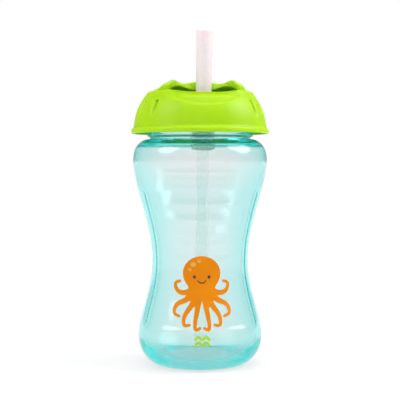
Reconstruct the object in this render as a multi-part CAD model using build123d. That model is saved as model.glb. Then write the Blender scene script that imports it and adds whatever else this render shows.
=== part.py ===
"""A toddler's straw cup: waisted bottle, screw lid, turning cover and soft folding straw.

Millimetres, +Z up, the origin at the middle of the base, the drinker's side towards -Y.
Each separate piece is written as one STEP file in parts/.
"""

import os
from math import atan2, cos, degrees, hypot, radians, sin

from build123d import *

# ---- Bottle ---------------------------------------------------------------------------
BOTTLE_WALL = 1.8
FLOOR_Z = 3.0  # inside of the base, at the axis
# Outer outline of the bottle, (radius, height): the foot, up to its widest, the waist up to
# the widest, and the shoulder over to the root of the neck.
FOOT = [(23.0, 0.0), (29.0, 3.2), (32.6, 8.4), (34.1, 15.5)]
WAIST = [(34.1, 15.5), (31.8, 28.6), (28.3, 42.0), (26.5, 58.0), (29.3, 78.0), (34.2, 96.0), (36.8, 112.0)]
SHOULDER = [(36.8, 112.0), (35.9, 118.0), (32.8, 122.0), (28.4, 123.8)]
PUSH_UP_R = 16.0  # hollow under the base
PUSH_UP_Z = 1.2
STAGE_CUTS = [34.0, 80.0, 104.0, 124.2]  # levels that part the bottle into simple stages
NECK_R = 27.4
NECK_BORE_R = 25.4
NECK_TOP_Z = 137.0
NECK_ROOT_Z = 122.0
BEAD_R = 29.2  # ring round the neck below the lid
BEAD_Z = 125.6
BEAD_HALF = 0.8

# ---- Screw thread ---------------------------------------------------------------------
PITCH = 4.0
THREAD_SINK = 0.3  # how far a ridge's root is buried in its wall
NECK_CREST_R = 28.9
NECK_THREAD_Z = 129.6
NECK_TURNS = 1.5
LID_CREST_R = 27.9
LID_THREAD_Z = 129.6
LID_TURNS = 1.5
RIDGE_ROOT_W = 1.7
RIDGE_CREST_W = 0.8

# ---- Lid collar -----------------------------------------------------------------------
RIM_Z = 126.7
RIM_R = 37.9
LEDGE_Z = 149.6
LEDGE_R = 28.6
# Outer outline of the collar above its rim bead, (radius, height).
COLLAR = [(36.5, 130.8), (36.0, 134.5), (34.7, 139.5), (32.4, 144.2), (LEDGE_R + 0.8, 148.6)]
COLLAR_BORE_R = 26.2
DECK_Z = 140.5
DECK_T = 1.8
THREAD_WALL_R = 29.3
THREAD_WALL_T = 1.6
THREAD_WALL_Z = 127.6
GROOVE_R = 27.0
GROOVE_Z = 143.2
GROOVE_HALF = 0.9
LIP_DROP = 0.9  # how far the front of the ledge dips
SCOOP_DEPTH = 0.9
SCOOP_LOW_Z = 142.4
SCOOP_HALF_W = 19.0
FLUTES = 14  # grip flutes round the sides and back
FLUTE_FIRST = 51.5  # degrees from the front to the first flute on each side
FLUTE_R = 2.0
FLUTE_LOW = (36.3, 132.5)
FLUTE_TOP = (32.2, 144.5)
FLUTE_TOP_DEPTH = 0.7
FLUTE_LOW_GAP = 0.4  # how far the flute's lower end has run out of the skin

# ---- Turning cover --------------------------------------------------------------------
COVER_R = 25.9
COVER_T = 1.6
SKIRT_Z = 142.0
SKIRT_T = 1.6
SNAP_R = 26.6
DOME_EDGE_Z = 149.7
DOME_TOP_Z = 153.8
DOME = [(20.5, 151.9), (11.0, 153.4)]  # (radius, height) between its edge and top
SILL_Z = 147.4
WINDOW_HALF_ANGLE = 46.0
# Back edge of the window, (x, y), from the right ear to the middle.
WINDOW_EDGE = [(15.2, -14.0), (12.2, -10.9), (8.0, -9.5), (0.0, -10.2)]
RIM_T = 2.2
RIM_FOOT_Z = 150.2
RIM_INSET = 0.5
# Height of the raised edge round the window against x, from the middle to the side.
RIM_TOP = [(0.0, 155.2), (4.5, 154.8), (10.2, 153.7), (15.0, 155.6), (18.4, 153.0), (21.5, 149.4)]

# ---- Seal and vent --------------------------------------------------------------------
SEAL_R = 27.6
SEAL_BORE_R = 24.6
VENT_X = 12.0
VENT_Y = 9.0
VENT_STEM_R = 1.6
VENT_PORT_R = 0.6
VENT_PORT_PITCH_R = 3.1
VENT_SKIRT_R = 4.4
VENT_SKIRT_T = 0.8
VENT_BULB_R = 2.3
VENT_BULB_H = 1.5

# ---- Straw, along its own leaning axis ------------------------------------------------
LEAN = 6.4  # degrees towards the drinker
SEAT_Y = -16.0
SEAT_Z = 139.6  # where the straw's axis passes through the deck
SEAT_R = 9.0
SEAT_LOW_R = 7.6
SEAT_TOP = 1.0
SEAT_STEP = 0.5  # where the seat narrows, above the seal
SEAT_BOTTOM = -3.2
PLUG_R = 5.2
PLUG_BORE_R = 2.9
PLUG_END = -9.0
FLANGE_R = 6.5
FLANGE_TOP = 2.0
CATCH_R = 5.9
CATCH_T = 0.8
NECK_END = 10.0
TUBE_R = 4.2
TUBE_END = 42.0
TIP_ROUND = 0.6
SOCKET_R = 6.45
SOCKET_TOP = -4.0
SOCKET_END = -22.0
VALVE_T = 1.0
SLIT_L = 5.0
SLIT_W = 0.3
DIP_R = 3.3
DIP_BORE_R = 2.5
DIP_TOP = -12.0
DIP_END = -131.4

ABOUT_Z = Axis.Z


def on_straw(piece):
    """Places a piece made along +Z, with the deck at 0, on the leaning straw axis."""
    return Location((0, SEAT_Y, SEAT_Z), (LEAN, 0, 0)) * piece


def tube(outer, inner, low, high):
    """A straight tube along +Z between two heights."""
    middle = Location((0, 0, (low + high) / 2))
    solid = middle * Cylinder(outer, high - low)
    return solid - middle * Cylinder(inner, high - low + 2)


def rod(radius, low, high):
    return Location((0, 0, (low + high) / 2)) * Cylinder(radius, high - low)


def turned(*edges):
    """The solid turned about Z from the closed outline of these edges in the XZ plane."""
    return revolve(make_face(Wire(list(edges))), ABOUT_Z)


def flat(points):
    """(radius, height) pairs as points in the XZ plane."""
    return [Vector(r, 0, z) for r, z in points]


def run(points):
    """Straight edges through (radius, height) pairs."""
    p = flat(points)
    return [Line(a, b) for a, b in zip(p[:-1], p[1:])]


def ridge(wall_r, crest_r, z, turns):
    """A screw thread's ridge, out from wall_r to crest_r, or in when the crest is nearer the axis."""
    outward = 1 if crest_r > wall_r else -1
    root_r = wall_r - outward * THREAD_SINK
    path = Helix(PITCH, PITCH * turns, wall_r)
    start = Plane(origin=(wall_r, 0, 0), x_dir=(1, 0, 0), z_dir=path % 0)
    reach = crest_r - wall_r
    root = root_r - wall_r
    section = start * make_face(
        Polyline(
            (root, -RIDGE_ROOT_W / 2),
            (reach, -RIDGE_CREST_W / 2),
            (reach, RIDGE_CREST_W / 2),
            (root, RIDGE_ROOT_W / 2),
            close=True,
        )
    )
    return Location((0, 0, z)) * sweep(section, path=path, is_frenet=True)


# ---- Pieces ---------------------------------------------------------------------------


def inset(points, by):
    """The outline moved inwards, square to itself."""
    moved = []
    for i, (r, z) in enumerate(points):
        before = points[max(i - 1, 0)]
        after = points[min(i + 1, len(points) - 1)]
        dr, dz = after[0] - before[0], after[1] - before[1]
        length = hypot(dr, dz)
        moved.append((r - by * dz / length, z + by * dr / length))
    return moved


def bottle_side(foot, waist, shoulder):
    """The bottle's side from foot to neck, upright at its two widest places."""
    up = Vector(0, 0, 1)
    return [
        Spline(flat(foot), tangents=[Vector(1, 0, 0.1), up]),
        Spline(flat(waist), tangents=[up, up]),
        Spline(flat(shoulder), tangents=[up, Vector(-1, 0, 0.1)]),
    ]


def stages(solid, heights):
    """One moulding written as level stages that touch, which keeps each stage's shape simple."""
    levels = [-1, *heights, NECK_TOP_Z + 1]
    reach = 4 * RIM_R
    pieces = []
    for low, high in zip(levels, levels[1:]):
        slab = Location((0, 0, (low + high) / 2)) * Box(reach, reach, high - low)
        pieces += (solid & slab).solids()
    return Compound(pieces)


def make_bottle():
    foot_r = FOOT[0][0]
    root_r, root_z = SHOULDER[-1]
    outside = turned(
        *run([(0, PUSH_UP_Z), (PUSH_UP_R, PUSH_UP_Z), (PUSH_UP_R + 3, 0), (foot_r, 0)]),
        *bottle_side(FOOT, WAIST, SHOULDER),
        *run([(root_r, root_z), (NECK_R, root_z + 0.4), (NECK_R, NECK_TOP_Z), (0, NECK_TOP_Z), (0, PUSH_UP_Z)]),
    )
    low = (FOOT[-1][0] - BOTTLE_WALL, FOOT[-1][1])
    high = (SHOULDER[0][0] - BOTTLE_WALL, SHOULDER[0][1])
    foot = [(foot_r - 2, FLOOR_Z), *inset(FOOT, BOTTLE_WALL)[1:-1], low]
    waist = [low, *inset(WAIST, BOTTLE_WALL)[1:-1], high]
    shoulder = [high, *inset(SHOULDER, BOTTLE_WALL)[1:-1], (NECK_BORE_R, NECK_ROOT_Z)]
    inside = turned(
        *run([(0, FLOOR_Z), foot[0]]),
        *bottle_side(foot, waist, shoulder),
        *run([shoulder[-1], (NECK_BORE_R, NECK_TOP_Z + 1), (0, NECK_TOP_Z + 1), (0, FLOOR_Z)]),
    )
    bead = turned(
        *run(
            [
                (root_r - 2, BEAD_Z - 1.6),
                (BEAD_R, BEAD_Z - BEAD_HALF),
                (BEAD_R, BEAD_Z + BEAD_HALF * 0.5),
                (NECK_R - 0.5, BEAD_Z + 1.6),
                (root_r - 2, BEAD_Z - 1.6),
            ]
        )
    )
    thread = ridge(NECK_R, NECK_CREST_R, NECK_THREAD_Z, NECK_TURNS)
    return stages(outside + bead + thread - inside, STAGE_CUTS)


def collar_outline(by=0.0):
    """Outer skin of the collar from the rim's underside to the ledge, moved in by a distance."""
    points = inset([*COLLAR, (LEDGE_R, LEDGE_Z)], by) if by else [*COLLAR, (LEDGE_R, LEDGE_Z)]
    bead_top = (RIM_R - by, RIM_Z + 2.2)
    return [
        *run([(RIM_R - by, RIM_Z), bead_top]),
        *run([bead_top, points[0]]),
        Spline(flat(points)),
    ], points


def make_flutes():
    """The round-ended bars that cut the grip flutes, deep at the top and running out below."""
    low, top = flat([FLUTE_LOW, FLUTE_TOP])
    up = (top - low).normalized()
    outward = Vector(up.Z, 0, -up.X)
    foot = low + outward * (FLUTE_R + FLUTE_LOW_GAP)
    head = top + outward * (FLUTE_R - FLUTE_TOP_DEPTH)
    length = (head - foot).length
    slope = degrees(atan2(head.X - foot.X, head.Z - foot.Z))
    bar = Location((0, 0, length / 2)) * Cylinder(FLUTE_R, length)
    bar += Location((0, 0, length)) * Sphere(FLUTE_R)
    bar = Location((foot.X, 0, foot.Z), (0, slope, 0)) * bar
    step = (360 - 2 * FLUTE_FIRST) / (FLUTES - 1)
    return [Rotation(0, 0, FLUTE_FIRST + k * step - 90) * bar for k in range(FLUTES)]


def scoop():
    """The smile-shaped hollow below the front lip, cut to an even depth in the collar's skin."""
    over, over_points = collar_outline(-1.0)
    deep, deep_points = collar_outline(SCOOP_DEPTH)
    over_end, deep_end = over_points[-1], deep_points[-1]
    above = turned(*over, *run([over_end, (0, over_end[1]), (0, RIM_Z), (RIM_R + 1.0, RIM_Z)]))
    core = turned(*deep, *run([deep_end, (0, deep_end[1]), (0, RIM_Z), (RIM_R - SCOOP_DEPTH, RIM_Z)]))
    rise = LEDGE_Z + 1 - SCOOP_LOW_Z
    scoop_r = (SCOOP_HALF_W**2 + rise**2) / (2 * rise)
    smile = Location((0, -35, SCOOP_LOW_Z + scoop_r), (90, 0, 0)) * Cylinder(scoop_r, 30)
    return smile & (above - core)


def make_collar():
    skin, _ = collar_outline()
    solid = turned(*skin, *run([(LEDGE_R, LEDGE_Z), (0, LEDGE_Z), (0, RIM_Z), (RIM_R, RIM_Z)]))
    for flute in make_flutes():
        solid -= flute
    solid -= scoop()

    deck_low = DECK_Z - DECK_T
    thread_out = THREAD_WALL_R + THREAD_WALL_T
    # Well above the deck, with the groove the cover's bead snaps into.
    solid -= turned(
        *run(
            [
                (0, DECK_Z),
                (COLLAR_BORE_R, DECK_Z),
                (COLLAR_BORE_R, GROOVE_Z - GROOVE_HALF),
                (GROOVE_R, GROOVE_Z - GROOVE_HALF + 0.5),
                (GROOVE_R, GROOVE_Z + GROOVE_HALF - 0.5),
                (COLLAR_BORE_R, GROOVE_Z + GROOVE_HALF),
                (COLLAR_BORE_R, LEDGE_Z + 1),
                (0, LEDGE_Z + 1),
                (0, DECK_Z),
            ]
        )
    )
    # Bore for the bottle's neck, and the hollow between its wall and the outer skin.
    solid -= rod(THREAD_WALL_R, RIM_Z - 1, deck_low)
    solid -= turned(
        *run(
            [
                (THREAD_WALL_R - 1, RIM_Z - 1),
                (THREAD_WALL_R - 1, THREAD_WALL_Z),
                (thread_out, THREAD_WALL_Z),
                (thread_out, deck_low + 0.4),
                (28.2, 142.0),
                (28.2, 146.0),
                (28.8, 146.0),
                (30.8, 142.9),
                (32.8, 138.6),
                (34.0, 134.2),
                (34.7, 130.4),
                (RIM_R - 1.8, RIM_Z - 1),
                (THREAD_WALL_R - 1, RIM_Z - 1),
            ]
        )
    )
    # The ledge dips at the front, between the corners of the window.
    dip_r = (SCOOP_HALF_W**2 + LIP_DROP**2) / (2 * LIP_DROP)
    solid -= Location((0, -25, LEDGE_Z - LIP_DROP + dip_r), (90, 0, 0)) * Cylinder(dip_r, 20)

    seat = rod(SEAT_R, SEAT_STEP, SEAT_TOP) + rod(SEAT_LOW_R, SEAT_BOTTOM, SEAT_STEP)
    solid += on_straw(seat) & rod(COLLAR_BORE_R + 0.5, 130, 143)
    solid -= on_straw(rod(PLUG_R, SEAT_BOTTOM - 2, SEAT_TOP + 2) + rod(FLANGE_R, SEAT_TOP, SEAT_TOP + 4))
    vent = Location((VENT_X, VENT_Y, 0))
    solid -= vent * rod(VENT_STEM_R, deck_low - 1, DECK_Z + 1)
    for k in range(3):
        port = Rotation(0, 0, 120 * k) * Location((VENT_PORT_PITCH_R, 0, 0))
        solid -= vent * port * rod(VENT_PORT_R, deck_low - 1, DECK_Z + 1)
    thread = ridge(THREAD_WALL_R, LID_CREST_R, LID_THREAD_Z, LID_TURNS)
    return solid + Rotation(0, 0, 180) * thread


def window_face(grow=0.0):
    """The cover's window seen from above, open to the front, its edge moved back by grow."""
    left = [(-x, y) for x, y in reversed(WINDOW_EDGE[:-1])]
    back = inset([*WINDOW_EDGE, *left], -grow)
    a = radians(WINDOW_HALF_ANGLE)
    far = 2 * COVER_R
    right_end = (back[0][0] + far * sin(a), back[0][1] - far * cos(a))
    left_end = (-right_end[0], right_end[1])
    into = Vector(-sin(a), cos(a))
    out = Vector(-sin(a), -cos(a))
    return make_face(
        Wire(
            [
                Spline([Vector(x, y) for x, y in back], tangents=[into, out]),
                Line(back[-1], left_end),
                Line(left_end, right_end),
                Line(right_end, back[0]),
            ]
        )
    )


def dome(radius, drop, low):
    """A shallow dome over a straight skirt: the cover's outside, or its inside when dropped."""
    outline = [(radius, DOME_EDGE_Z - drop), *[(r, z - drop) for r, z in DOME], (0, DOME_TOP_Z - drop)]
    return turned(
        *run([(0, low), (radius, low), outline[0]]),
        Spline(flat(outline)),
        *run([outline[-1], (0, low)]),
    )


def make_cover():
    # The raised, wavy edge round the window, with an ear over each corner.
    tops = [(-x, z) for x, z in reversed(RIM_TOP[1:])] + RIM_TOP
    foot = RIM_FOOT_Z - 2
    wave = make_face(Wire([Spline(flat(tops)), *run([tops[-1], (tops[-1][0], foot), (tops[0][0], foot), tops[0]])]))
    band = extrude(wave, 40, dir=(0, -1, 0)) & rod(COVER_R - RIM_INSET, 140, 160)
    band &= Location((0, 0, foot - 1)) * extrude(window_face(RIM_T), 20)
    bead = turned(
        *run(
            [
                (COVER_R - 1, GROOVE_Z - 0.7),
                (COVER_R, GROOVE_Z - 0.7),
                (SNAP_R, GROOVE_Z - 0.1),
                (SNAP_R, GROOVE_Z + 0.1),
                (COVER_R, GROOVE_Z + 0.7),
                (COVER_R - 1, GROOVE_Z + 0.7),
                (COVER_R - 1, GROOVE_Z - 0.7),
            ]
        )
    )
    cover = dome(COVER_R, 0, SKIRT_Z) + band + bead
    cover -= dome(COVER_R - SKIRT_T, COVER_T, SKIRT_Z - 1)
    return cover - Location((0, 0, SILL_Z)) * extrude(window_face(), 20)


def make_seal():
    return tube(SEAL_R, SEAL_BORE_R, NECK_TOP_Z, DECK_Z - DECK_T)


def make_vent_valve():
    deck_low = DECK_Z - DECK_T
    solid = rod(VENT_STEM_R, deck_low - VENT_SKIRT_T, DECK_Z + VENT_BULB_H)
    solid += rod(VENT_SKIRT_R, deck_low - VENT_SKIRT_T, deck_low)
    bulb = Location((0, 0, DECK_Z)) * Sphere(VENT_BULB_R) & rod(VENT_BULB_R + 1, DECK_Z, DECK_Z + VENT_BULB_H)
    return Location((VENT_X, VENT_Y, 0)) * (solid + bulb)


def make_spout_plug():
    solid = rod(PLUG_R, PLUG_END, SEAT_TOP) + rod(FLANGE_R, SEAT_TOP, FLANGE_TOP)
    solid += rod(CATCH_R, SEAT_BOTTOM - CATCH_T, SEAT_BOTTOM)
    return on_straw(solid - rod(PLUG_BORE_R, PLUG_END - 1, FLANGE_TOP + 1))


def make_slit_valve():
    low = PLUG_END - VALVE_T
    disc = rod(PLUG_R, low, PLUG_END)
    for turn in (0, 90):
        slit = Rotation(0, 0, turn) * Box(SLIT_L, SLIT_W, 4 * VALVE_T)
        disc -= Location((0, 0, low)) * slit
    return on_straw(disc)


def make_socket():
    valve_low = PLUG_END - VALVE_T
    solid = rod(SOCKET_R, SOCKET_END, SOCKET_TOP)
    solid -= rod(PLUG_R, valve_low, SOCKET_TOP + 1)
    solid -= rod(DIP_BORE_R, DIP_TOP - 1, valve_low + 1)
    solid -= rod(DIP_R, SOCKET_END - 1, DIP_TOP)
    return on_straw(solid)


def make_spout_tube():
    solid = tube(TUBE_R, PLUG_BORE_R, NECK_END, TUBE_END)
    return on_straw(fillet(solid.edges().filter_by_position(ABOUT_Z, TUBE_END - 0.1, TUBE_END + 0.1), TIP_ROUND))


def make_pieces():
    return {
        "bottle": make_bottle(),
        "lid_collar": make_collar(),
        "turning_cover": make_cover(),
        "lid_seal": make_seal(),
        "vent_valve": make_vent_valve(),
        "spout_plug": make_spout_plug(),
        "spout_neck": on_straw(tube(TUBE_R, PLUG_BORE_R, FLANGE_TOP, NECK_END)),
        "spout_tube": make_spout_tube(),
        "slit_valve": make_slit_valve(),
        "straw_socket": make_socket(),
        "dip_straw": on_straw(tube(DIP_R, DIP_BORE_R, DIP_END, DIP_TOP)),
    }


os.makedirs("parts", exist_ok=True)
for name, shape in make_pieces().items():
    export_step(shape, f"parts/{name}.step")
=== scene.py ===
"""A toddler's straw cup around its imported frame: bottle, lid, turning cover, soft straw and print.

Lengths in the script are millimetres; azimuths are degrees from the front (-Y), towards +X.
"""

from math import ceil, cos, pi, radians, sin

import bmesh
import bpy
import numpy as np
from mathutils import Matrix, Vector


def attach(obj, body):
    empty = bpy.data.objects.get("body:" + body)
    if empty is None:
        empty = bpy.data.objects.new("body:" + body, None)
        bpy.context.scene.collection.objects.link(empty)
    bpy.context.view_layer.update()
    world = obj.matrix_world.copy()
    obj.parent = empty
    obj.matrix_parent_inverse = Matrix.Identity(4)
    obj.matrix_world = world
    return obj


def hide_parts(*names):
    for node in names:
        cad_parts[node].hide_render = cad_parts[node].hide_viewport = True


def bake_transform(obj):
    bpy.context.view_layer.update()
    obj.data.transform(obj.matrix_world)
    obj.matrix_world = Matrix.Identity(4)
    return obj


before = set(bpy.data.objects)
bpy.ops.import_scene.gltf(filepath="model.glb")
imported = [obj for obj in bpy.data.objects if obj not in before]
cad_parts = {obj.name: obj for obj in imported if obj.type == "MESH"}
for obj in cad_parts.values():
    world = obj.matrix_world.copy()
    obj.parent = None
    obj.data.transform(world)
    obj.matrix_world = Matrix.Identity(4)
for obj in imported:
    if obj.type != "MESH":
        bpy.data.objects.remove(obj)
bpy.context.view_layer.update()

MM = 0.001

# ---- Sizes, as in the CAD --------------------------------------------------------------
WALL = 1.8
BASE_RING_R = 20.0
PUNT_Z = 1.2  # how far the middle of the base is pushed up
FOOT = [(23.0, 0.0), (29.0, 3.2), (32.6, 8.4), (34.1, 15.5)]
WAIST = [
    (34.1, 15.5),
    (31.8, 28.6),
    (28.3, 42.0),
    (26.5, 58.0),
    (29.3, 78.0),
    (34.2, 96.0),
    (36.8, 112.0),
]
SHOULDER = [(36.8, 112.0), (35.9, 118.0), (32.8, 122.0), (28.4, 123.8)]
NECK_R = 27.4
NECK_BORE_R = 25.4
NECK_TOP = 137.0
PITCH = 4.0
THREAD_Z = 129.6
THREAD_TURNS = 1.5
THREAD_OUT_R = 28.9
LID_THREAD_IN_R = 27.9

RIM_R = 37.9
LEDGE_Z = 149.6
LEDGE_R = 28.6
COLLAR = [(36.5, 130.8), (36.0, 134.5), (34.7, 139.5), (32.4, 144.2), (29.4, 148.6)]
COLLAR_BORE_R = 26.2
DECK_Z = 140.5
DECK_T = 1.8
THREAD_WALL_R = 29.3
THREAD_WALL_OUT = 30.9
GROOVE_Z = 143.2

COVER_R = 25.9
COVER_T = 1.6
DOME_EDGE_Z = 149.7
DOME_TOP_Z = 153.8
WINDOW_AZ = 46.0  # where the window's edge meets the cover's rim
WINDOW = [(15.2, -14.0), (12.2, -10.9), (8.0, -9.5), (0.0, -10.2)]
# The top and foot of the wall along the window's edge: (distance from the middle, height).
CREST = [
    (0.0, 155.2),
    (4.5, 154.8),
    (10.2, 153.7),
    (13.2, 154.8),
    (15.5, 155.7),
    (17.2, 154.6),
    (18.7, 151.6),
]
HANG = [
    (0.0, 149.9),
    (5.0, 150.0),
    (8.0, 150.7),
    (12.0, 151.8),
    (15.0, 151.7),
    (17.5, 150.2),
    (18.7, 148.9),
]
WALL_FLARE = 1.3

LEAN = 6.4
SEAT_Y = -16.0
SEAT_Z = 139.6
SEAT_R = 9.0
SEAT_LOW_R = 7.6
SEAT_TOP = 1.0
SEAT_BOTTOM = -3.2
PLUG_R = 5.2
FLANGE_ROOM_R = 6.5
SOCKET_R = 6.3
SOCKET_WIDE_R = 6.45
DIP_R = 3.3
DIP_BORE_R = 2.5
VENT_AT = (12.0, 9.0)
VENT_STEM_R = 1.6
VENT_PORT_R = 0.6
VENT_PORTS_OUT = 3.1

PANEL_AZ = -4.5  # the middle of the bottle's front panel and of the print


# ---- Curves ----------------------------------------------------------------------------
def through(points, count, start=None, end=None):
    """Points evenly along a smooth curve through the given ones, with optional end directions."""
    p = np.array(points, float)
    h = np.linalg.norm(np.diff(p, axis=0), axis=1)
    n = len(p)
    a = np.zeros((n, n))
    b = np.zeros(p.shape)
    for i in range(1, n - 1):
        a[i, i - 1] = 1 / h[i - 1]
        a[i, i] = 2 / h[i - 1] + 2 / h[i]
        a[i, i + 1] = 1 / h[i]
        b[i] = 3 * (p[i] - p[i - 1]) / h[i - 1] ** 2 + 3 * (p[i + 1] - p[i]) / h[i] ** 2
    for i, j, way, chord in ((0, 1, start, h[0]), (n - 1, n - 2, end, h[-1])):
        if way is None:
            a[i, i], a[i, j] = 2, 1
            b[i] = 3 * (p[max(i, j)] - p[min(i, j)]) / chord
        else:
            a[i, i] = 1
            b[i] = np.array(way) / np.linalg.norm(way)
    m = np.linalg.solve(a, b)
    knots = np.concatenate([[0], np.cumsum(h)])
    s = np.linspace(0, knots[-1], count)
    k = np.clip(np.searchsorted(knots, s, side="right") - 1, 0, n - 2)
    t = ((s - knots[k]) / h[k])[:, None]
    hk = h[k][:, None]
    return (
        (2 * t**3 - 3 * t**2 + 1) * p[k]
        + (t**3 - 2 * t**2 + t) * hk * m[k]
        + (3 * t**2 - 2 * t**3) * p[k + 1]
        + (t**3 - t**2) * hk * m[k + 1]
    )


def line(a, b, count):
    """Points evenly from a up to but without b."""
    t = np.linspace(0, 1, count, endpoint=False)[:, None]
    return np.array(a) * (1 - t) + np.array(b) * t


def corner(centre, radius, first, last, count=6):
    """Points round a corner between two directions, in degrees from +r towards +z."""
    t = np.radians(np.linspace(first, last, count))
    return np.stack([centre[0] + radius * np.cos(t), centre[1] + radius * np.sin(t)], axis=1)


def ease(x):
    """Smoothly from 0 to 1 as x goes from 0 to 1."""
    x = np.clip(x, 0, 1)
    return x * x * (3 - 2 * x)


def inset(points, by):
    """An outline moved to its left, square to itself."""
    p = np.array(points, float)
    d = np.gradient(p, axis=0)
    d /= np.linalg.norm(d, axis=1)[:, None]
    return p + by * np.stack([-d[:, 1], d[:, 0]], axis=1)


def wrap(az):
    """An azimuth brought between -180 and 180."""
    return (np.asarray(az) + 180) % 360 - 180


# ---- Meshes ----------------------------------------------------------------------------
def new_object(name, verts, faces, sharp=None):
    """A smooth-shaded object from points in millimetres, its normals facing out."""
    mesh = bpy.data.meshes.new(name)
    mesh.from_pydata((np.asarray(verts) * MM).tolist(), [], faces)
    work = bmesh.new()
    work.from_mesh(mesh)
    bmesh.ops.remove_doubles(work, verts=work.verts, dist=1e-7)
    bmesh.ops.recalc_face_normals(work, faces=work.faces)
    work.to_mesh(mesh)
    work.free()
    mesh.shade_smooth()
    if sharp is not None:
        mesh.set_sharp_from_angle(angle=radians(sharp))
    obj = bpy.data.objects.new(name, mesh)
    bpy.context.scene.collection.objects.link(obj)
    return obj


def ring_faces(rings, count, loop=False):
    """Quads between rows of count points each, which close round; loop joins last row to first."""
    faces = []
    for i in range(rings if loop else rings - 1):
        a = i * count
        b = (i + 1) % rings * count
        for j in range(count):
            k = (j + 1) % count
            faces.append((a + j, a + k, b + k, b + j))
    return faces


def around(r, z, az):
    """Points at radius r, height z and azimuth az, as rows."""
    a = np.radians(az)
    r, z, a = np.broadcast_arrays(r, z, a)
    return np.stack([r * np.sin(a), -r * np.cos(a), z], axis=-1)


def turned(name, outline, relief=None, segments=160, loop=False, sharp=None):
    """A piece turned about Z from its (radius, height) outline; relief(r, z, az) moves its points.

    An outline that isn't a loop is closed on the axis at its last height.
    """
    outline = np.array(outline)
    if not loop:
        outline = np.concatenate([outline, [(0.0, outline[-1][1])]])
    az = np.arange(segments) * 360 / segments
    r = np.repeat(outline[:, :1], segments, axis=1)
    z = np.repeat(outline[:, 1:], segments, axis=1)
    if relief is not None:
        r, z = relief(r, z, np.repeat(az[None], len(outline), axis=0))
    verts = around(r, z, az[None]).reshape(-1, 3)
    return new_object(name, verts, ring_faces(len(outline), segments, loop), sharp)


def on_straw(obj):
    """Stands a piece made along Z, with the deck at 0, on the leaning straw axis."""
    a = radians(LEAN)
    co = np.empty(len(obj.data.vertices) * 3)
    obj.data.vertices.foreach_get("co", co)
    x, y, z = co.reshape(-1, 3).T
    moved = np.stack(
        [x, y * cos(a) - z * sin(a) + SEAT_Y * MM, y * sin(a) + z * cos(a) + SEAT_Z * MM], axis=1
    )
    obj.data.vertices.foreach_set("co", moved.ravel())
    obj.data.update()
    return obj


def carve(obj, tool, operation, sharp=40):
    """Cuts a tool out of a piece, or adds it, and drops the tool."""
    mod = obj.modifiers.new("carve", "BOOLEAN")
    mod.operation = operation
    mod.solver = "EXACT"
    mod.object = tool
    shape = obj.evaluated_get(bpy.context.evaluated_depsgraph_get())
    mesh = bpy.data.meshes.new_from_object(shape)
    obj.modifiers.clear()
    obj.data = mesh
    mesh.shade_smooth()
    mesh.set_sharp_from_angle(angle=radians(sharp))
    bpy.data.objects.remove(tool)
    return obj


# ---- Materials -------------------------------------------------------------------------
def material(name, color, roughness, **inputs):
    """A Principled material with values set on the shader's own sockets."""
    mat = bpy.data.materials.new(name)
    mat.use_nodes = True
    shader = mat.node_tree.nodes["Principled BSDF"]
    shader.inputs["Base Color"].default_value = (*color, 1)
    shader.inputs["Roughness"].default_value = roughness
    for key, value in inputs.items():
        shader.inputs[key.replace("_", " ")].default_value = value
    return mat


def grain(mat, scale, depth, color_swing=0.0, rough_swing=0.0):
    """Fine moulded grain, with a slight unevenness of colour and gloss."""
    nodes, links = mat.node_tree.nodes, mat.node_tree.links
    shader = nodes["Principled BSDF"]
    place = nodes.new("ShaderNodeTexCoord")
    noise = nodes.new("ShaderNodeTexNoise")
    noise.inputs["Scale"].default_value = scale
    noise.inputs["Detail"].default_value = 3
    links.new(place.outputs["Object"], noise.inputs["Vector"])
    bump = nodes.new("ShaderNodeBump")
    bump.inputs["Distance"].default_value = depth
    bump.inputs["Strength"].default_value = 1.0
    links.new(noise.outputs["Fac"], bump.inputs["Height"])
    links.new(bump.outputs["Normal"], shader.inputs["Normal"])
    broad = nodes.new("ShaderNodeTexNoise")
    broad.inputs["Scale"].default_value = scale / 20
    broad.inputs["Detail"].default_value = 2
    links.new(place.outputs["Object"], broad.inputs["Vector"])
    if color_swing:
        base = shader.inputs["Base Color"].default_value[:3]
        ramp = nodes.new("ShaderNodeValToRGB")
        ramp.color_ramp.elements[0].position = 0.3
        ramp.color_ramp.elements[1].position = 0.7
        ramp.color_ramp.elements[0].color = (*[c * (1 - color_swing) for c in base], 1)
        ramp.color_ramp.elements[1].color = (*[min(1, c * (1 + color_swing)) for c in base], 1)
        links.new(broad.outputs["Fac"], ramp.inputs["Fac"])
        links.new(ramp.outputs["Color"], shader.inputs["Base Color"])
    if rough_swing:
        middle = shader.inputs["Roughness"].default_value
        span = nodes.new("ShaderNodeMapRange")
        span.inputs["To Min"].default_value = middle - rough_swing
        span.inputs["To Max"].default_value = middle + rough_swing
        links.new(broad.outputs["Fac"], span.inputs["Value"])
        links.new(span.outputs["Result"], shader.inputs["Roughness"])


def edge_tint(mat, facing, grazing):
    """Deepens a see-through material's colour where the wall turns away."""
    nodes, links = mat.node_tree.nodes, mat.node_tree.links
    turned_away = nodes.new("ShaderNodeLayerWeight")
    turned_away.inputs["Blend"].default_value = 0.35
    ramp = nodes.new("ShaderNodeValToRGB")
    ramp.color_ramp.elements[0].color = (*facing, 1)
    ramp.color_ramp.elements[1].color = (*grazing, 1)
    links.new(turned_away.outputs["Facing"], ramp.inputs["Fac"])
    links.new(ramp.outputs["Color"], nodes["Principled BSDF"].inputs["Base Color"])


def depth_tint(mat, color, density):
    """Gives a see-through material a tint that deepens with the wall's thickness."""
    nodes, links = mat.node_tree.nodes, mat.node_tree.links
    absorb = nodes.new("ShaderNodeVolumeAbsorption")
    absorb.inputs["Color"].default_value = (*color, 1)
    absorb.inputs["Density"].default_value = density
    links.new(absorb.outputs["Volume"], nodes["Material Output"].inputs["Volume"])


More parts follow.
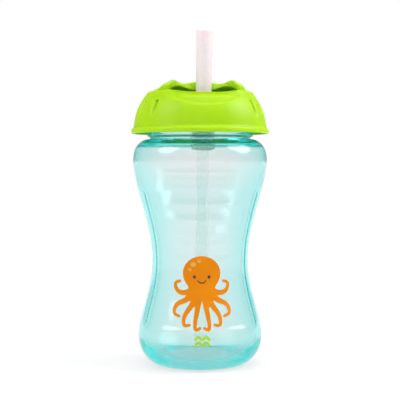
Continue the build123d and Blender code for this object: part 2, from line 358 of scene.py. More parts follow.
aqua = material("aqua_plastic", (1, 1, 1), 0.12, IOR=1.45, Transmission_Weight=1.0)
depth_tint(aqua, (0.0, 0.975, 0.97), 110)
edge_tint(aqua, (0.98, 0.892, 0.89), (0.45, 0.92, 0.915))
lime = material(
    "lime_plastic",
    (0.33, 0.56, 0.0),
    0.4,
    Specular_IOR_Level=0.28,
    Subsurface_Weight=1.0,
    Subsurface_Scale=0.0035,
    Subsurface_Radius=(1.0, 1.0, 0.15),
)
grain(lime, 900, 0.00004, 0.03, 0.05)
# A brighter copy of the lime plastic: painted light, standing in for the light bounced about inside
# the lid.
lime_painted_bright = material("lime_plastic_painted_bright", (0.3, 0.9, 0.22), 0.5, Specular_IOR_Level=0.2)
grain(lime_painted_bright, 900, 0.00004, 0.03, 0.05)
milk = material(
    "white_silicone",
    (0.74, 0.655, 0.675),
    0.42,
    Subsurface_Weight=0.35,
    Subsurface_Scale=0.004,
)
grain(milk, 1200, 0.00003, 0.02, 0.05)
cloudy = material("clear_silicone", (0.9, 0.9, 0.88), 0.35, Transmission_Weight=0.6, IOR=1.41)
grain(cloudy, 1200, 0.00003)
milky = material("milky_plastic", (0.94, 0.98, 0.97), 0.15, Transmission_Weight=1.0, IOR=1.25)
grain(milky, 900, 0.00002)
frosted = material("frosted_plastic", (0.84, 1.0, 0.88), 0.3, Transmission_Weight=0.8, IOR=1.3)
grain(frosted, 900, 0.00002)
INK = {"Subsurface_Weight": 0.4, "Subsurface_Scale": 0.001}
orange = material("orange_print", (0.76, 0.195, 0.0), 0.5, Specular_IOR_Level=0.1, **INK)
grain(orange, 1500, 0.00002, 0.05, 0.05)
green = material("green_print", (0.33, 0.54, 0.03), 0.45, **INK)
grain(green, 1500, 0.00002, 0.05, 0.05)
dark = material("dark_print", (0.06, 0.02, 0.01), 0.5)
grain(dark, 1500, 0.00002)
pale = material("pale_print", (0.66, 0.30, 0.04), 0.5)
grain(pale, 1500, 0.00002)


def finish(obj, mat, body=None, nodes=()):
    """Gives a piece its material, slot, body and the CAD nodes that it stands for."""
    obj.data.materials.clear()
    obj.data.materials.append(mat)
    if body:
        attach(obj, body)
    if nodes:
        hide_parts(*nodes)
    return obj


# ---- Bottle ----------------------------------------------------------------------------
def side(foot, waist, shoulder, counts):
    """The bottle's side from its three curves, which meet upright."""
    up, out = (0, 1), (1, 0.1)
    return np.concatenate(
        [
            through(foot, counts[0], out, up)[:-1],
            through(waist, counts[1], up, up)[:-1],
            through(shoulder, counts[2], up, (-1, 0.1)),
        ]
    )


outer_side = side(FOOT, WAIST, SHOULDER, (24, 190, 26))
RIPPLE_LOW = 61.6
RIPPLE_STEP = 8.57
RIPPLE_COUNT = 6
RIPPLE_DEPTH = 0.8
RIPPLE_WIDTH = 0.27  # as a share of the step
RIPPLE_INSIDE = 0.85  # how much of each ripple shows on the inner face
PANEL_DEPTH = 0.35
PANEL_HALF_AZ = 66.0
CREASE_Z = 15.0
CREASE_DEPTH = 0.18
INNER_FLOOR = 3.2
INNER_FOOT = [(17.0, INNER_FLOOR), (25.8, 5.2), (30.3, 9.8)]
INNER_SHOULDER = [(35.0, 116.8), (33.7, 119.4), (31.8, 120.2), (NECK_BORE_R, 120.3)]
SHOULDER_WALL = 1.1


def panel_az(az):
    """How far round from the middle of the front or back panel, whichever is nearer."""
    turn = np.abs(wrap(az - PANEL_AZ))
    return np.minimum(turn, 180 - turn)


def panel_relief(z, az):
    """How far the front and back panels sink into the bottle's side."""
    a = panel_az(az)
    beside = ease((PANEL_HALF_AZ - a) / 3.0)
    sunk = ease((z - 22.0) / 2.0) * ease((97.0 - z) / 4.0) * beside
    crease = np.exp(-(((z - CREASE_Z) / 0.7) ** 2)) * beside
    return -PANEL_DEPTH * sunk - CREASE_DEPTH * crease


def ripple_relief(z, az):
    """The stack of shallow ripples across each panel's upper half."""
    a = panel_az(az)
    step = (z - RIPPLE_LOW - 1.2 * (a / 45) ** 2) / RIPPLE_STEP
    off = step - np.round(step)
    on = ease((step + 0.5) / 0.5) * ease((RIPPLE_COUNT - 0.5 - step) / 0.5)
    return -RIPPLE_DEPTH * np.exp(-((off / RIPPLE_WIDTH) ** 2)) * on * ease((44 - a) / 26)


def bottle_relief(z, az):
    """How far the bottle's outside stands out of its plain turned form, in millimetres."""
    return panel_relief(z, az) + ripple_relief(z, az)


def thread_relief(z, az, start_z, flip):
    """A trapezoid screw ridge's height from 0 to 1, rising to the right-hand rule about Z."""
    turn = ((az - 90 + flip) % 360) / 360
    ridge = np.zeros(np.broadcast(z, az).shape)
    for lap in range(ceil(THREAD_TURNS)):
        along = turn + lap
        off = np.abs(z - start_z - PITCH * along)
        there = ease(along / 0.03) * ease((THREAD_TURNS - along) / 0.03)
        ridge = np.maximum(ridge, np.clip((0.85 - off) / 0.45, 0, 1) * there)
    return ease(ridge)


def make_bottle():
    neck = np.concatenate(
        [
            corner((28.2, 124.4), 0.8, 250, 180, 5),
            line((NECK_R, 124.5), (THREAD_OUT_R, 125.0), 4),
            corner((28.7, 125.5), 0.5, 300, 420, 8),
            line((28.4, 126.2), (NECK_R, 127.0), 4),
            line((NECK_R, 127.2), (NECK_R, NECK_TOP - 0.5), 48),
            corner((NECK_R - 0.5, NECK_TOP - 0.5), 0.5, 0, 90, 4),
            corner((NECK_BORE_R + 0.5, NECK_TOP - 0.5), 0.5, 90, 180, 4),
        ]
    )
    base = np.concatenate(
        [
            line((0.0, PUNT_Z), (15.0, PUNT_Z), 5),
            through([(15.0, PUNT_Z), (17.5, 0.6), (BASE_RING_R, 0.0)], 8, (1, 0), (1, 0))[:-1],
            line((BASE_RING_R, 0.0), FOOT[0], 4),
        ]
    )
    low = (FOOT[-1][0] - WALL, FOOT[-1][1])
    high = (SHOULDER[0][0] - SHOULDER_WALL, SHOULDER[0][1])
    waist = [low, *map(tuple, inset(WAIST, WALL)[1:-1]), high]
    inner = side([*INNER_FOOT, low], waist, [high, *INNER_SHOULDER], (20, 150, 20))[::-1]
    inside = np.concatenate(
        [
            line((NECK_BORE_R, NECK_TOP - 0.6), (NECK_BORE_R, 121.0), 8),
            inner,
            line((16.5, INNER_FLOOR), (0.0, INNER_FLOOR), 5),
        ]
    )
    outside = np.concatenate([base, outer_side, neck])
    outline = np.concatenate([outside, inside])
    split = len(outside)

    def relief(r, z, az):
        out_z, out_az = z[:split], az[:split]
        thread = (THREAD_OUT_R - NECK_R) * thread_relief(out_z, out_az, THREAD_Z, 0)
        out_r = r[:split] + bottle_relief(out_z, out_az) + thread
        in_z, in_az = z[split:], az[split:]
        on_side = (r[split:] > NECK_BORE_R * 0.96) & (in_z > 14) & (in_z < 118)
        sunk = panel_relief(in_z, in_az) + RIPPLE_INSIDE * ripple_relief(in_z, in_az)
        in_r = r[split:] + np.where(on_side, sunk, 0)
        return np.concatenate([out_r, in_r]), z

    return turned("bottle_shell", outline, relief, segments=360, sharp=50)


finish(make_bottle(), aqua, "bottle", ["bottle"])


# ---- Print on the bottle ---------------------------------------------------------------
def blend_union(a, b, k):
    """The nearer of two distances, with a fillet of about k where they meet."""
    h = np.clip(0.5 + 0.5 * (b - a) / k, 0, 1)
    return b * (1 - h) + a * h - k * h * (1 - h)


def stroke(x, y, points, wide, narrow):
    """Distance to a smooth tapering stroke."""
    path = through(points, 28)
    width = np.linspace(wide, narrow, len(path))
    far = np.full(x.shape, 1e9)
    for a, b, wa, wb in zip(path[:-1], path[1:], width[:-1], width[1:]):
        ab = b - a
        t = np.clip(((x - a[0]) * ab[0] + (y - a[1]) * ab[1]) / (ab @ ab), 0, 1)
        reach = np.hypot(x - a[0] - t * ab[0], y - a[1] - t * ab[1])
        far = np.minimum(far, reach - (wa + (wb - wa) * t))
    return far


def oval(x, y, cx, cy, rx, ry):
    """About the distance to an oval's edge."""
    return (np.hypot((x - cx) / rx, (y - cy) / ry) - 1) * min(rx, ry)


ARMS = [
    [(3.8, 2.6), (9.0, 0.6), (13.6, 1.8), (14.6, 5.4), (12.0, 6.6)],
    [(4.2, 0.4), (9.6, -3.6), (14.2, -6.2), (15.2, -10.2), (12.4, -11.6)],
    [(3.0, -1.4), (6.6, -7.4), (9.6, -12.0), (9.4, -16.2), (6.8, -16.0)],
    [(1.4, -1.8), (2.6, -8.6), (3.6, -14.0), (3.2, -18.4), (1.2, -17.6)],
]


def octopus(x, y):
    """Distance to the figure: a head, a body and four mirrored pairs of arms."""
    far = oval(x, y, 0, 10.6, 10.3, 9.2)
    far = blend_union(far, oval(x, y, 0, 1.4, 5.6, 4.6), 4.0)
    for arm in ARMS:
        far = blend_union(far, stroke(np.abs(x), y, arm, 1.75, 0.75), 1.0)
    return far


def face(x, y):
    """Distance to two eyes and a smile."""
    eyes = np.hypot(np.abs(x) - 3.9, (y - 8.8) * 0.85) - 0.8
    smile = stroke(np.abs(x), y, [(0.0, 5.6), (1.2, 5.9), (2.1, 6.8)], 0.32, 0.28)
    return np.minimum(eyes, smile)


def spots(x, y):
    """Distance to the light spots on the head."""
    far = oval(x, y, -4.6, 15.4, 1.5, 1.2)
    far = np.minimum(far, oval(x, y, -1.4, 17.0, 1.0, 0.8))
    return np.minimum(far, oval(x, y, -6.4, 12.6, 0.9, 0.8))


def waves(x, y):
    """Distance to two waves, one over the other."""
    far = np.full(x.shape, 1e9)
    for level in (1.5, -1.5):
        low, high = level - 0.7, level + 0.7
        path = [(-3.6, low), (-1.8, high), (0.0, low), (1.8, high), (3.6, low)]
        far = np.minimum(far, stroke(x, y, path, 0.75, 0.75))
    return far


def bottle_radius(z, az):
    """The bottle's outer radius at a height and azimuth, between the foot and the shoulder."""
    return np.interp(z, outer_side[:, 1], outer_side[:, 0]) + bottle_relief(z, az)


FILM_T = 0.06


def printed(name, shape, centre_z, half_w, half_h, cell, lift):
    """A thin film of a flat shape wrapped on the bottle: its outline is cut through a fine grid."""
    nx, ny = int(2 * half_w / cell) + 1, int(2 * half_h / cell) + 1
    x, y = np.meshgrid(np.linspace(-half_w, half_w, nx), np.linspace(-half_h, half_h, ny))
    far = shape(x, y)
    points, index, faces, edge_use = [], {}, [], {}

    def point(key, px, py):
        if key not in index:
            index[key] = len(points)
            points.append((px, py))
        return index[key]

    for j in range(ny - 1):
        row = far[j : j + 2]
        if row.min() > 0:
            continue
        for i in np.nonzero((row[:, :-1].min(axis=0) < 0) | (row[:, 1:].min(axis=0) < 0))[0]:
            ring = [(j, i), (j, i + 1), (j + 1, i + 1), (j + 1, i)]
            loop = []
            for a, b in zip(ring, ring[1:] + ring[:1]):
                da, db = far[a], far[b]
                if da < 0:
                    loop.append(point(a, x[a], y[a]))
                if (da < 0) != (db < 0):
                    t = min(max(da / (da - db), 0.02), 0.98)
                    key = tuple(sorted((a, b)))
                    loop.append(point(key, x[a] + (x[b] - x[a]) * t, y[a] + (y[b] - y[a]) * t))
            if len(loop) >= 3:
                faces.append(loop)
                for a, b in zip(loop, loop[1:] + loop[:1]):
                    edge_use[(a, b)] = edge_use.get((a, b), 0) + 1
    flat = np.array(points)
    z = centre_z + flat[:, 1]
    mean_r = np.interp(z, outer_side[:, 1], outer_side[:, 0])
    az = PANEL_AZ + np.degrees(flat[:, 0] / mean_r)
    r = bottle_radius(z, az)
    count = len(flat)
    verts = np.concatenate([around(r + lift, z, az), around(r + lift + FILM_T, z, az)])
    rim = [(a, b) for a, b in edge_use if (b, a) not in edge_use]
    solid = [list(reversed(f)) for f in faces] + [[v + count for v in f] for f in faces]
    solid += [(a, b, b + count, a + count) for a, b in rim]
    return new_object(name, verts, solid, 35)


PRINT_Z = 41.4
WAVES_Z = 17.2
COARSE, FINE = 0.22, 0.11
BELOW, ABOVE = 0.02, 0.06
for name, shape, mat, z, half_w, half_h, cell, lift in (
    ("print_octopus", octopus, orange, PRINT_Z, 17.0, 21.0, COARSE, BELOW),
    ("print_face", face, dark, PRINT_Z, 5.6, 11.0, FINE, ABOVE),
    ("print_spots", spots, pale, PRINT_Z, 8.6, 19.0, FINE, ABOVE),
    ("print_waves", waves, green, WAVES_Z, 5.0, 3.2, FINE, BELOW),
):
    film = printed(name, shape, z, half_w, half_h, cell, lift)
    finish(film, mat, "bottle")


# ---- Lid collar ------------------------------------------------------------------------
FLUTES = 14
FLUTE_FROM = 51.5
FLUTE_DEPTH = 1.9
FLUTE_HALF_AZ = 1.8
SCOOP_DEPTH = 0.8
LIP_DIP = 1.6


def collar_relief(r, z, az):
    """Flutes round the collar, the smile-shaped scoop in front, and the front lip's dip."""
    a = wrap(az)
    on_skin = (r > LEDGE_R - 0.4) & (z > 128) & (r > 44.5 - 0.105 * z)
    step = (360 - 2 * FLUTE_FROM) / (FLUTES - 1)
    k = np.clip(np.round((az - FLUTE_FROM) / step), 0, FLUTES - 1)
    off = np.abs(az - FLUTE_FROM - k * step)
    depth = FLUTE_DEPTH * ease((z - 133.0) / 8.0) * ease((144.6 - z) / 1.0)
    groove = depth * np.exp(-((off / FLUTE_HALF_AZ) ** 2))
    low = 140.9 + 3.9 * (a / 34) ** 2
    scoop = SCOOP_DEPTH * ease((z - low) / 1.6) * ease((40 - np.abs(a)) / 8)
    scoop = scoop * ease((150.5 - z) / 1.5)
    r = r - np.where(on_skin, groove + scoop, 0)
    dip = LIP_DIP * ease((47 - np.abs(a)) / 34)
    z = z - np.where(z > 145, dip * ease((z - 145) / 4), 0)
    return r, z


SKIRT_INSIDE = [
    (36.1, 127.6),
    (34.9, 130.4),
    (34.1, 134.2),
    (32.9, 138.6),
    (30.9, 142.9),
    (29.6, 145.2),
]


THREAD_ROWS = 48
DECK_CORNER_ROWS = 3
DECK_UNDER_ROWS = 8


def make_collar():
    deck_low = DECK_Z - DECK_T
    skin = through([*COLLAR, (LEDGE_R + 0.35, LEDGE_Z - 0.35)], 64)
    top = np.concatenate(
        [
            line((0.0, DECK_Z), (COLLAR_BORE_R - 0.5, DECK_Z), 8),
            corner((COLLAR_BORE_R - 0.5, DECK_Z + 0.5), 0.5, 270, 360, 4),
            line((COLLAR_BORE_R, 141.2), (COLLAR_BORE_R, GROOVE_Z - 0.9), 3),
            line((COLLAR_BORE_R, GROOVE_Z - 0.9), (27.0, GROOVE_Z - 0.4), 3),
            line((27.0, GROOVE_Z - 0.4), (27.0, GROOVE_Z + 0.4), 3),
            line((27.0, GROOVE_Z + 0.4), (COLLAR_BORE_R, GROOVE_Z + 0.9), 3),
            line((COLLAR_BORE_R, GROOVE_Z + 0.9), (COLLAR_BORE_R, LEDGE_Z - 0.5), 10),
            corner((COLLAR_BORE_R + 0.5, LEDGE_Z - 0.5), 0.5, 180, 90, 5),
            line((COLLAR_BORE_R + 0.7, LEDGE_Z), (LEDGE_R - 0.3, LEDGE_Z), 4),
            corner((LEDGE_R - 0.3, LEDGE_Z - 0.7), 0.7, 90, 35, 4),
        ]
    )
    bead = np.concatenate(
        [
            through([(36.5, 130.8), (36.75, 130.2), (37.4, 129.5), (37.85, 128.8)], 9)[1:],
            corner((37.2, 128.2), 0.7, 30, 0, 4),
            line((RIM_R, 128.0), (RIM_R, 127.3), 3),
            corner((37.3, 127.3), 0.6, 0, -90, 5),
            corner((36.6, 127.2), 0.5, -90, -180, 4),
        ]
    )
    under = np.concatenate(
        [
            through(SKIRT_INSIDE, 20),
            corner((28.9, 145.0), 0.7, 60, 180, 6),
            line((28.2, 144.6), (28.2, 142.2), 4),
            line((28.6, 141.6), (THREAD_WALL_OUT, 139.4), 4),
            line((THREAD_WALL_OUT, 139.0), (THREAD_WALL_OUT, 128.0), 12),
            corner((THREAD_WALL_OUT - 0.4, 128.0), 0.4, 0, -90, 4),
            corner((THREAD_WALL_R + 0.4, 128.0), 0.4, -90, -180, 4),
            line((THREAD_WALL_R, 128.2), (THREAD_WALL_R, deck_low - 0.3), THREAD_ROWS),
            corner((THREAD_WALL_R - 0.4, deck_low - 0.4), 0.4, 0, 90, DECK_CORNER_ROWS),
            line((THREAD_WALL_R - 0.6, deck_low), (0.0, deck_low), DECK_UNDER_ROWS),
        ]
    )
    outline = np.concatenate([top, skin[::-1], bead, under])
    outside = len(top) + len(skin) + 3
    thread_to = len(outline) - DECK_CORNER_ROWS - DECK_UNDER_ROWS
    thread_from = thread_to - THREAD_ROWS

    def relief(r, z, az):
        r, z = r.copy(), z.copy()
        r[:outside], z[:outside] = collar_relief(r[:outside], z[:outside], az[:outside])
        t = slice(thread_from, thread_to)
        r[t] -= (THREAD_WALL_R - LID_THREAD_IN_R) * thread_relief(z[t], az[t], THREAD_Z, 180)
        return r, z

    obj = turned("lid_collar_shell", outline, relief, segments=600, sharp=40)
    seat = np.concatenate(
        [
            line((0.0, SEAT_BOTTOM), (SEAT_LOW_R - 0.4, SEAT_BOTTOM), 3),
            line((SEAT_LOW_R, SEAT_BOTTOM + 0.4), (SEAT_LOW_R, 0.0), 3),
            line((SEAT_R, 0.0), (SEAT_R, 0.6), 2),
            corner((SEAT_R - 0.4, 0.6), 0.4, 0, 90, 4),
            line((SEAT_R - 0.8, SEAT_TOP), (0.0, SEAT_TOP), 3),
        ]
    )
    carve(obj, on_straw(turned("seat", seat, segments=64)), "UNION")
    bore = [
        (0.0, -6.0),
        (PLUG_R, -6.0),
        (PLUG_R, SEAT_TOP),
        (FLANGE_ROOM_R, SEAT_TOP),
        (FLANGE_ROOM_R, 5.0),
        (0.0, 5.0),
    ]
    carve(obj, on_straw(turned("bore", bore, segments=64)), "DIFFERENCE")
    ports = []
    for k in range(3):
        a = 2 * pi * k / 3
        x = VENT_AT[0] + VENT_PORTS_OUT * cos(a)
        y = VENT_AT[1] + VENT_PORTS_OUT * sin(a)
        ports.append((x, y, VENT_PORT_R))
    for x, y, radius in [*ports, (*VENT_AT, VENT_STEM_R)]:
        port = [(0.0, 136.0), (radius, 136.0), (radius, 142.5), (0.0, 142.5)]
        port = turned("port", port, segments=24)
        port.data.transform(Matrix.Translation((x * MM, y * MM, 0)))
        carve(obj, port, "DIFFERENCE")
    return obj


def painted_bright_underside(face):
    """Whether a collar face lies on the lid's underside, where the lime is painted brighter to stand
    in for light bounced inside the lid.
    """
    x, y, z = np.array(face.center) / MM
    r = np.hypot(x, y)
    skirt = np.array(SKIRT_INSIDE)
    in_well = z > DECK_Z - 1.0 and r < COLLAR_BORE_R + 1.4
    under_skirt = r < np.interp(z, skirt[:, 1], skirt[:, 0]) + 0.1 and z < SKIRT_INSIDE[-1][1]
    return under_skirt and not in_well


collar = finish(make_collar(), lime, "lid", ["lid_collar"])
# The lid's underside gets the brighter lime copy as a second slot: painted light, not a different
# plastic.
collar.data.materials.append(lime_painted_bright)
for face in collar.data.polygons:
    face.material_index = int(painted_bright_underside(face))

# ---- Turning cover ---------------------------------------------------------------------
HUB = np.array([0.0, 8.0])  # where the cover's rings shrink to, clear of the window


def dome(r):
    """Height of the cover's plain dome at a radius."""
    return DOME_EDGE_Z + (DOME_TOP_Z - DOME_EDGE_Z) * np.clip(1 - (r / COVER_R) ** 2, 0, 1) ** 0.5


def make_cover():
    a = radians(WINDOW_AZ)
    foot = (COVER_R * sin(a), -COVER_R * cos(a))
    back = [foot, *WINDOW, *[(-x, y) for x, y in reversed(WINDOW[:-1])], (-foot[0], foot[1])]
    edge = through(back, 150)[::-1]
    az = np.radians(np.linspace(WINDOW_AZ, 360 - WINDOW_AZ, 260))[1:-1]
    arc = np.stack([COVER_R * np.sin(az), -COVER_R * np.cos(az)], axis=1)
    bound = np.concatenate([edge, arc])
    count = len(bound)
    is_edge = np.arange(count) < len(edge)
    hang = through(HANG, 60)
    low = np.where(is_edge, np.interp(np.abs(bound[:, 0]), hang[:, 0], hang[:, 1]), 146.0)
    near_corner = np.hypot(np.abs(bound[:, 0]) - foot[0], bound[:, 1] - foot[1])
    soften = 0.5 * np.exp(-((near_corner / 2.6) ** 2))
    for _ in range(70):
        middle = (np.roll(bound, 1, axis=0) + np.roll(bound, -1, axis=0)) / 2
        bound = bound + soften[:, None] * (middle - bound)
    edge = bound[: len(edge)]
    way = np.roll(bound, -1, axis=0) - np.roll(bound, 1, axis=0)
    way /= np.linalg.norm(way, axis=1)[:, None]
    out = np.stack([way[:, 1], -way[:, 0]], axis=1)
    crest = through(CREST, 80)
    crest_z = np.interp(np.abs(edge[:, 0]), crest[:, 0], crest[:, 1])

    def top(p):
        """Height of the cover's outside at plan points."""
        z = dome(np.hypot(p[:, 0], p[:, 1]))
        gap = np.linalg.norm(p[:, None] - edge[None], axis=2)
        nearest = gap.min(axis=1)
        share = np.exp((nearest[:, None] - gap) / 0.9)
        share /= share.sum(axis=1)[:, None]
        lift = np.maximum(share @ crest_z - z, 0)
        spread = 3.6 + 6.0 * ease((share @ np.abs(edge[:, 0]) - 11.0) / 4.0)
        return z + lift * (1 - ease((nearest - 0.8) / spread))

    rings = []

    def ring(inward, z):
        p = bound - out * inward
        rings.append(np.column_stack([p, z]))

    rim = bound - out * 1.0
    rim_z = top(rim)
    for s in np.concatenate([[0.0], np.linspace(0.08, 0.9, 16), np.linspace(0.92, 1.0, 8)]):
        p = HUB + (rim - HUB) * s
        rings.append(np.column_stack([p, top(p)]))
    for inward, drop in ((0.62, 0.07), (0.3, 0.29), (0.08, 0.6), (0.0, 1.0)):
        ring(inward, rim_z - drop)
    aside = np.abs(bound[:, 0])
    flare = WALL_FLARE * ease((18.0 - aside) / 4.0) * ease((aside - 3.0) / 5.0)
    flare = np.where(is_edge, flare, 0)[:, None]
    for share in (0.25, 0.5, 0.75):
        ring(-flare * share, (rim_z - 1.0) * (1 - share) + (low + 0.6) * share)
    lip = ((0.0, 0.6), (0.1, 0.25), (0.4, 0.02), (0.8, -0.05), (1.2, 0.02), (1.5, 0.25), (1.6, 0.6))
    for inward, up in lip:
        ring(inward - flare, low + up)
    inner = bound - out * COVER_T
    under = np.maximum(top(inner) - COVER_T, low + 0.7)
    ring(COVER_T - 0.5 * flare, low * 0.5 + under * 0.5 + 0.3)
    for s in np.concatenate([np.linspace(1.0, 0.92, 5), np.linspace(0.88, 0.08, 14), [0.0]]):
        p = HUB + (inner - HUB) * s
        z = np.maximum(top(p) - COVER_T, np.where(s > 0.97, low + 0.7, 0))
        rings.append(np.column_stack([p, z]))
    obj = new_object("cover_dome", np.concatenate(rings), ring_faces(len(rings), count), 50)
    skirt = np.concatenate(
        [
            corner((24.7, 142.4), 0.4, 180, 270, 4),
            corner((25.5, 142.4), 0.4, 270, 360, 4),
            line((COVER_R, 142.5), (26.6, 143.1), 3),
            line((26.6, 143.1), (26.6, 143.3), 2),
            line((26.6, 143.3), (COVER_R, 143.9), 3),
            line((COVER_R, 143.9), (COVER_R, 147.0), 6),
            corner((25.5, 147.0), 0.4, 0, 90, 4),
            corner((24.7, 147.0), 0.4, 90, 180, 4),
        ]
    )
    carve(obj, turned("skirt", skirt, segments=300, loop=True), "UNION", 50)
    obj.name = "turning_cover_shell"
    return obj


finish(make_cover(), lime, "cover", ["turning_cover"])

# ---- Soft straw ------------------------------------------------------------------------
TUBE_R = 4.2
BORE_R = 2.9
TIP = 42.0


def make_spout():
    outline = np.concatenate(
        [
            line((BORE_R, -9.0), (5.0, -9.0), 3),
            corner((4.9, -8.7), 0.3, -90, 0, 3),
            line((PLUG_R, -8.4), (PLUG_R, -4.0), 4),
            line((5.9, -4.0), (5.9, -3.4), 2),
            line((5.7, SEAT_BOTTOM), (PLUG_R, SEAT_BOTTOM), 2),
            line((PLUG_R, -3.0), (PLUG_R, 0.9), 5),
            line((5.3, SEAT_TOP), (6.3, SEAT_TOP), 3),
            corner((6.2, 1.3), 0.3, -60, 0, 3),
            corner((6.0, 1.5), 0.5, 0, 90, 5),
            line((5.9, 2.0), (5.0, 2.0), 2),
            through([(5.0, 2.02), (4.4, 2.3), (TUBE_R, 3.2)], 6, (-1, 0), (0, 1)),
            line((TUBE_R, 3.5), (TUBE_R, 12.0), 34),
            line((TUBE_R, 12.0), (TUBE_R, TIP - 0.6), 30),
            corner((TUBE_R - 0.6, TIP - 0.6), 0.6, 0, 90, 6),
            corner((BORE_R + 0.5, TIP - 0.5), 0.5, 90, 180, 5),
            line((BORE_R, TIP - 0.8), (BORE_R, 12.0), 24),
            line((BORE_R, 12.0), (BORE_R, 2.0), 34),
            line((BORE_R, 2.0), (BORE_R, -9.0), 8),
        ]
    )
    return on_straw(turned("soft_straw", outline, segments=72, loop=True, sharp=50))


SPOUT_NODES = ["spout_plug", "spout_neck", "spout_tube"]
spout = finish(make_spout(), milk, None, SPOUT_NODES)
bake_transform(spout)

# ---- Socket, dip straw, valves and seal ------------------------------------------------
def make_socket():
    outline = np.concatenate(
        [
            corner((5.6, -4.3), 0.3, 180, 90, 3),
            corner((6.05, -4.4), 0.4, 90, 0, 4),
            line((SOCKET_WIDE_R, -4.6), (SOCKET_WIDE_R, -17.6), 8),
            line((SOCKET_WIDE_R, -18.0), (SOCKET_R, -18.3), 2),
            line((SOCKET_R, -18.5), (SOCKET_R, -21.5), 4),
            corner((5.8, -21.5), 0.5, 0, -90, 4),
            corner((3.7, -21.6), 0.4, -90, -180, 4),
            line((DIP_R, -21.5), (DIP_R, -12.0), 6),
            line((DIP_R, -12.0), (DIP_BORE_R, -12.0), 2),
            line((DIP_BORE_R, -12.0), (DIP_BORE_R, -10.0), 2),
            line((DIP_BORE_R, -10.0), (PLUG_R, -10.0), 3),
            line((PLUG_R, -10.0), (PLUG_R, -4.5), 5),
        ]
    )
    return on_straw(turned("socket_shell", outline, segments=80, loop=True, sharp=40))


def make_dip_straw():
    low, high = -131.4, -12.0
    outline = np.concatenate(
        [
            corner((2.75, high - 0.2), 0.2, 180, 90, 3),
            corner((3.1, high - 0.2), 0.2, 90, 0, 3),
            line((DIP_R, high - 0.4), (DIP_R, low + 0.4), 30),
            corner((3.1, low + 0.2), 0.2, 0, -90, 3),
            corner((2.75, low + 0.2), 0.2, -90, -180, 3),
            line((DIP_BORE_R, low + 0.4), (DIP_BORE_R, high - 0.4), 30),
        ]
    )
    return on_straw(turned("dip_straw_shell", outline, segments=64, loop=True, sharp=50))


def make_vent():
    outline = np.concatenate(
        [
            line((0.0, 137.9), (3.4, 137.9), 4),
            through([(3.4, 137.9), (4.1, 138.1), (4.4, 138.6)], 5),
            line((4.3, 138.69), (1.6, 138.69), 4),
            line((1.6, 138.8), (1.6, 140.4), 4),
            line((1.7, 140.52), (2.2, 140.52), 2),
            through([(2.3, 140.6), (2.1, 141.3), (1.2, 141.9), (0.0, 142.0)], 8),
        ]
    )
    obj = turned("vent_umbrella", outline, segments=48, sharp=50)
    obj.data.transform(Matrix.Translation((VENT_AT[0] * MM, VENT_AT[1] * MM, 0)))
    return obj


def make_seal():
    outline = np.concatenate(
        [
            corner((24.9, 137.35), 0.3, 180, 270, 4),
            corner((27.3, 137.35), 0.3, 270, 360, 4),
            line((27.6, 137.5), (27.6, 138.3), 3),
            corner((27.3, 138.35), 0.3, 0, 90, 4),
            corner((24.9, 138.35), 0.3, 90, 180, 4),
            line((24.6, 138.2), (24.6, 137.5), 3),
        ]
    )
    return turned("seal_ring", outline, segments=160, loop=True, sharp=50)


finish(make_socket(), frosted, "lid", ["straw_socket"])
finish(make_dip_straw(), milky, "lid", ["dip_straw"])
finish(make_vent(), cloudy, "lid", ["vent_valve"])
finish(make_seal(), cloudy, "seal", ["lid_seal"])
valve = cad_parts["slit_valve"]
valve.data.materials.clear()
valve.data.materials.append(cloudy)


# ---- Stage, light and camera -----------------------------------------------------------
FLOOR_HALF = 30.0
FLOOR_Z = -0.0003  # just under the base, so that the two don't share a plane
FLOOR_ALBEDO = 0.25
FLOOR_GLOW = 0.64
BEHIND_LEVEL = 1.0
DIFFUSE_LEVEL = 0.72
MIRRORED_LEVEL = 0.25
WHITE = (1, 1, 1, 1)


def make_floor():
    """A wide floor that gives off some light, so that it reads as plain white."""
    h = FLOOR_HALF
    mesh = bpy.data.meshes.new("floor")
    corners = [(-h, -h, FLOOR_Z), (h, -h, FLOOR_Z), (h, h, FLOOR_Z), (-h, h, FLOOR_Z)]
    mesh.from_pydata(corners, [], [(0, 1, 2, 3)])
    white = material("floor_white", (FLOOR_ALBEDO,) * 3, 0.9, Specular_IOR_Level=0.0)
    shader = white.node_tree.nodes["Principled BSDF"]
    shader.inputs["Emission Color"].default_value = WHITE
    shader.inputs["Emission Strength"].default_value = FLOOR_GLOW
    mesh.materials.append(white)
    obj = bpy.data.objects.new("floor", mesh)
    bpy.context.scene.collection.objects.link(obj)
    return obj


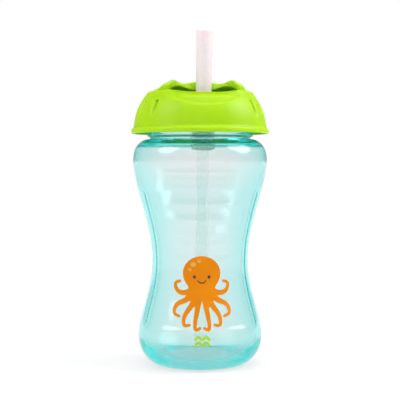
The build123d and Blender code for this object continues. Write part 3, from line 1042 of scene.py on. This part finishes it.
def make_world():
    """White behind the object, and dimmer where it lights the object or is mirrored in it."""
    world = bpy.data.worlds.new("studio")
    bpy.context.scene.world = world
    world.use_nodes = True
    nodes, links = world.node_tree.nodes, world.node_tree.links
    shown = nodes["Background"]
    shown.inputs["Color"].default_value = WHITE
    shown.inputs["Strength"].default_value = BEHIND_LEVEL
    ray = nodes.new("ShaderNodeLightPath")
    mirrored = nodes.new("ShaderNodeMath")
    mirrored.operation = "GREATER_THAN"
    links.new(ray.outputs["Is Glossy Ray"], mirrored.inputs[0])
    links.new(ray.outputs["Is Transmission Ray"], mirrored.inputs[1])
    diffuse = (DIFFUSE_LEVEL, ray.outputs["Is Diffuse Ray"])
    for level, chosen in (diffuse, (MIRRORED_LEVEL, mirrored.outputs["Value"])):
        dim = nodes.new("ShaderNodeBackground")
        dim.inputs["Color"].default_value = WHITE
        dim.inputs["Strength"].default_value = level
        by_ray = nodes.new("ShaderNodeMixShader")
        links.new(chosen, by_ray.inputs["Fac"])
        links.new(shown.outputs[0], by_ray.inputs[1])
        links.new(dim.outputs["Background"], by_ray.inputs[2])
        shown = by_ray
    links.new(shown.outputs[0], nodes["World Output"].inputs["Surface"])


def lamp(name, azimuth, height, spread, strength):
    """A far, soft round light from an azimuth and height, as wide as its spread, all in degrees."""
    light = bpy.data.lights.new(name, "SUN")
    light.angle = radians(spread)
    light.energy = strength
    obj = bpy.data.objects.new(name, light)
    a, h = radians(azimuth), radians(height)
    place = Vector((sin(a) * cos(h), -cos(a) * cos(h), sin(h)))
    obj.location = place
    obj.rotation_euler = place.to_track_quat("Z", "Y").to_euler()
    bpy.context.scene.collection.objects.link(obj)
    return obj


CAMERA_AZ = -6.5
CAMERA_FAR = 0.59
CAMERA_HEIGHT = 0.108
AIM_HEIGHT = 0.0902
BOUNCES = 64  # light is held in the bottle's wall by many inner reflections


def make_camera():
    """The photograph's view: nearly level, a little to the left of the front."""
    camera = bpy.data.cameras.new("camera")
    camera.lens = 96
    camera.sensor_width = 36
    obj = bpy.data.objects.new("camera", camera)
    a = radians(CAMERA_AZ)
    obj.location = (CAMERA_FAR * sin(a), -CAMERA_FAR * cos(a), CAMERA_HEIGHT)
    aim = Vector((0, 0, AIM_HEIGHT)) - obj.location
    obj.rotation_euler = aim.to_track_quat("-Z", "Y").to_euler()
    bpy.context.scene.collection.objects.link(obj)
    bpy.context.scene.camera = obj


make_floor()
make_world()
lamp("key", 82, 38, 40, 2.2)
lamp("fill", -72, 36, 36, 1.2)
lamp("top", 0, 74, 30, 0.8)
lamp("front", -6, 36, 50, 0.4)
back = lamp("back", 180, 24, 60, 1.2)
back.visible_transmission = False
back.visible_glossy = False
make_camera()
bpy.context.scene.view_settings.view_transform = "Standard"
bpy.context.scene.cycles.max_bounces = BOUNCES
bpy.context.scene.cycles.glossy_bounces = BOUNCES
bpy.context.scene.cycles.transmission_bounces = BOUNCES
